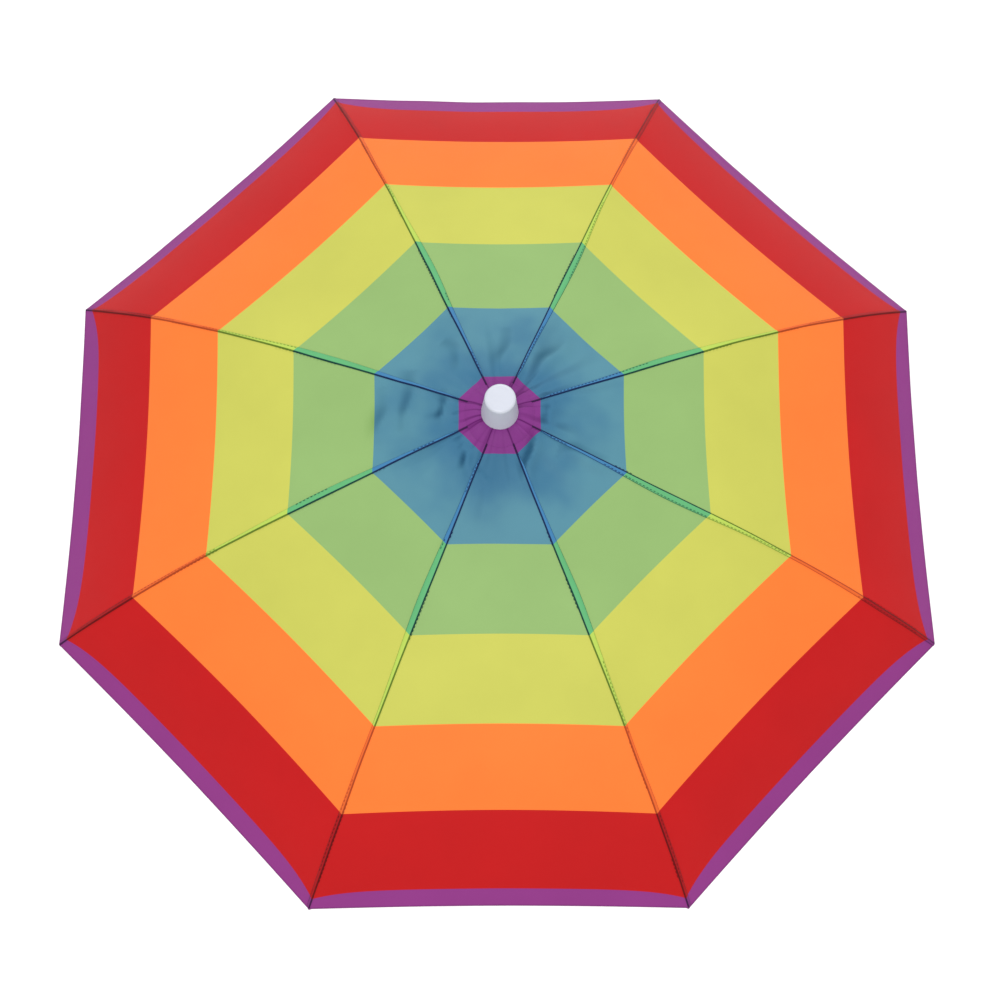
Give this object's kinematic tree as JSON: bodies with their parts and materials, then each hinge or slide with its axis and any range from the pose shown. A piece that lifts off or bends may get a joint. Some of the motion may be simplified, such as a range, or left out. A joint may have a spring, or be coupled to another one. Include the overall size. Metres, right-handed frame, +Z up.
{
  "type": "beach umbrella",
  "caption": "Folding beach umbrella: striped octagonal canopy on hinged ribs and stretchers, white cap, sliding runner, tilt joint, telescoping pole and sand spike.",
  "frame": {"origin": "centre of the lower pole's foot, where the spike begins", "axes": "+Z up the pole; the canopy tilts towards +X about a pin along Y; the ribs stand 22.5 degrees off X and every 45 degrees"},
  "size_m": [1.2078, 1.2078, 1.8266],
  "materials": {
    "painted_steel": "gloss",
    "white_plastic": "satin",
    "cap_plastic": "satin",
    "plated_steel": "satin",
    "purple_cloth": "matte",
    "striped_cloth": "matte"
  },
  "bodies": {
    "lower": {"lower_pole": "painted_steel", "sand_spike": "white_plastic", "clamp_collar": "white_plastic"},
    "knob": {"clamp_knob": "white_plastic"},
    "upper": {"upper_pole": "painted_steel", "tilt_fork": "white_plastic", "tilt_pin": "plated_steel"},
    "button": {"tilt_button": "white_plastic"},
    "mast": {"tilt_tongue": "white_plastic", "mast": "painted_steel", "crown": "white_plastic", "crown_wire": "plated_steel", "rosette": "purple_cloth", "cap": "cap_plastic"},
    "catch": {"catch": "plated_steel"},
    "runner": {"runner": "white_plastic"},
    "rib_1": {"rib_1": "plated_steel", "rib_clip_1": "plated_steel", "rib_tip_1": "white_plastic", "panel_1": "striped_cloth"},
    "stretcher_1": {"stretcher_1": "plated_steel"},
    "rib_2": {"rib_2": "plated_steel", "rib_clip_2": "plated_steel", "rib_tip_2": "white_plastic", "panel_2": "striped_cloth"},
    "stretcher_2": {"stretcher_2": "plated_steel"},
    "rib_3": {"rib_3": "plated_steel", "rib_clip_3": "plated_steel", "rib_tip_3": "white_plastic", "panel_3": "striped_cloth"},
    "stretcher_3": {"stretcher_3": "plated_steel"},
    "rib_4": {"rib_4": "plated_steel", "rib_clip_4": "plated_steel", "rib_tip_4": "white_plastic", "panel_4": "striped_cloth"},
    "stretcher_4": {"stretcher_4": "plated_steel"},
    "rib_5": {"rib_5": "plated_steel", "rib_clip_5": "plated_steel", "rib_tip_5": "white_plastic", "panel_5": "striped_cloth"},
    "stretcher_5": {"stretcher_5": "plated_steel"},
    "rib_6": {"rib_6": "plated_steel", "rib_clip_6": "plated_steel", "rib_tip_6": "white_plastic", "panel_6": "striped_cloth"},
    "stretcher_6": {"stretcher_6": "plated_steel"},
    "rib_7": {"rib_7": "plated_steel", "rib_clip_7": "plated_steel", "rib_tip_7": "white_plastic", "panel_7": "striped_cloth"},
    "stretcher_7": {"stretcher_7": "plated_steel"},
    "rib_8": {"rib_8": "plated_steel", "rib_clip_8": "plated_steel", "rib_tip_8": "white_plastic", "panel_8": "striped_cloth"},
    "stretcher_8": {"stretcher_8": "plated_steel"}
  },
  "joints": [
    {"name": "height", "type": "slide", "parent": "lower", "child": "upper", "axis": [0, 0, 1], "range_m": [-0.2, 0.05]},
    {"name": "knob", "type": "hinge", "parent": "lower", "child": "knob", "pos_m": [0.03, 0, 0.7325], "axis": [1, 0, 0], "continuous": true},
    {"name": "tilt", "type": "hinge", "parent": "upper", "child": "mast", "pos_m": [0, 0, 1], "axis": [0, 1, 0], "range_deg": [0, 40]},
    {"name": "button", "type": "slide", "parent": "upper", "child": "button", "axis": [1, 0, 0], "range_m": [0, 0.003], "stiffness_N_per_m": 400, "springref_m": -0.002},
    {"name": "catch", "type": "slide", "parent": "mast", "child": "catch", "axis": [-1, 0, 0], "range_m": [0, 0.004], "stiffness_N_per_m": 400, "springref_m": -0.002},
    {"name": "fold", "type": "slide", "parent": "mast", "child": "runner", "axis": [0, 0, 1], "range_m": [-0.385, 0], "deforming": ["panel_1", "panel_2", "panel_3", "panel_4", "panel_5", "panel_6", "panel_7", "panel_8", "catch"]},
    {"name": "rib_hinge_1", "type": "hinge", "parent": "mast", "child": "rib_1", "pos_m": [0.0194, 0.00804, 1.7], "axis": [-0.3827, 0.9239, 0], "range_deg": [0, 64.08]},
    {"name": "stretcher_hinge_1", "type": "hinge", "parent": "rib_1", "child": "stretcher_1", "pos_m": [0.25954, 0.1075, 1.62668], "axis": [-0.3827, 0.9239, 0], "range_deg": [-128.16, 0]},
    {"name": "rib_hinge_2", "type": "hinge", "parent": "mast", "child": "rib_2", "pos_m": [0.00804, 0.0194, 1.7], "axis": [-0.9239, 0.3827, 0], "range_deg": [0, 64.08]},
    {"name": "stretcher_hinge_2", "type": "hinge", "parent": "rib_2", "child": "stretcher_2", "pos_m": [0.1075, 0.25954, 1.62668], "axis": [-0.9239, 0.3827, 0], "range_deg": [-128.16, 0]},
    {"name": "rib_hinge_3", "type": "hinge", "parent": "mast", "child": "rib_3", "pos_m": [-0.00804, 0.0194, 1.7], "axis": [-0.9239, -0.3827, 0], "range_deg": [0, 64.08]},
    {"name": "stretcher_hinge_3", "type": "hinge", "parent": "rib_3", "child": "stretcher_3", "pos_m": [-0.1075, 0.25954, 1.62668], "axis": [-0.9239, -0.3827, 0], "range_deg": [-128.16, 0]},
    {"name": "rib_hinge_4", "type": "hinge", "parent": "mast", "child": "rib_4", "pos_m": [-0.0194, 0.00804, 1.7], "axis": [-0.3827, -0.9239, 0], "range_deg": [0, 64.08]},
    {"name": "stretcher_hinge_4", "type": "hinge", "parent": "rib_4", "child": "stretcher_4", "pos_m": [-0.25954, 0.1075, 1.62668], "axis": [-0.3827, -0.9239, 0], "range_deg": [-128.16, 0]},
    {"name": "rib_hinge_5", "type": "hinge", "parent": "mast", "child": "rib_5", "pos_m": [-0.0194, -0.00804, 1.7], "axis": [0.3827, -0.9239, 0], "range_deg": [0, 64.08]},
    {"name": "stretcher_hinge_5", "type": "hinge", "parent": "rib_5", "child": "stretcher_5", "pos_m": [-0.25954, -0.1075, 1.62668], "axis": [0.3827, -0.9239, 0], "range_deg": [-128.16, 0]},
    {"name": "rib_hinge_6", "type": "hinge", "parent": "mast", "child": "rib_6", "pos_m": [-0.00804, -0.0194, 1.7], "axis": [0.9239, -0.3827, 0], "range_deg": [0, 64.08]},
    {"name": "stretcher_hinge_6", "type": "hinge", "parent": "rib_6", "child": "stretcher_6", "pos_m": [-0.1075, -0.25954, 1.62668], "axis": [0.9239, -0.3827, 0], "range_deg": [-128.16, 0]},
    {"name": "rib_hinge_7", "type": "hinge", "parent": "mast", "child": "rib_7", "pos_m": [0.00804, -0.0194, 1.7], "axis": [0.9239, 0.3827, 0], "range_deg": [0, 64.08]},
    {"name": "stretcher_hinge_7", "type": "hinge", "parent": "rib_7", "child": "stretcher_7", "pos_m": [0.1075, -0.25954, 1.62668], "axis": [0.9239, 0.3827, 0], "range_deg": [-128.16, 0]},
    {"name": "rib_hinge_8", "type": "hinge", "parent": "mast", "child": "rib_8", "pos_m": [0.0194, -0.00804, 1.7], "axis": [0.3827, 0.9239, 0], "range_deg": [0, 64.08]},
    {"name": "stretcher_hinge_8", "type": "hinge", "parent": "rib_8", "child": "stretcher_8", "pos_m": [0.25954, -0.1075, 1.62668], "axis": [0.3827, 0.9239, 0], "range_deg": [-128.16, 0]}
  ],
  "couplings": [
    {"joint": "rib_hinge_1", "follows": "fold", "rad_per_m": -2.9045},
    {"joint": "stretcher_hinge_1", "follows": "fold", "rad_per_m": 5.809},
    {"joint": "rib_hinge_2", "follows": "fold", "rad_per_m": -2.9045},
    {"joint": "stretcher_hinge_2", "follows": "fold", "rad_per_m": 5.809},
    {"joint": "rib_hinge_3", "follows": "fold", "rad_per_m": -2.9045},
    {"joint": "stretcher_hinge_3", "follows": "fold", "rad_per_m": 5.809},
    {"joint": "rib_hinge_4", "follows": "fold", "rad_per_m": -2.9045},
    {"joint": "stretcher_hinge_4", "follows": "fold", "rad_per_m": 5.809},
    {"joint": "rib_hinge_5", "follows": "fold", "rad_per_m": -2.9045},
    {"joint": "stretcher_hinge_5", "follows": "fold", "rad_per_m": 5.809},
    {"joint": "rib_hinge_6", "follows": "fold", "rad_per_m": -2.9045},
    {"joint": "stretcher_hinge_6", "follows": "fold", "rad_per_m": 5.809},
    {"joint": "rib_hinge_7", "follows": "fold", "rad_per_m": -2.9045},
    {"joint": "stretcher_hinge_7", "follows": "fold", "rad_per_m": 5.809},
    {"joint": "rib_hinge_8", "follows": "fold", "rad_per_m": -2.9045},
    {"joint": "stretcher_hinge_8", "follows": "fold", "rad_per_m": 5.809}
  ]
}
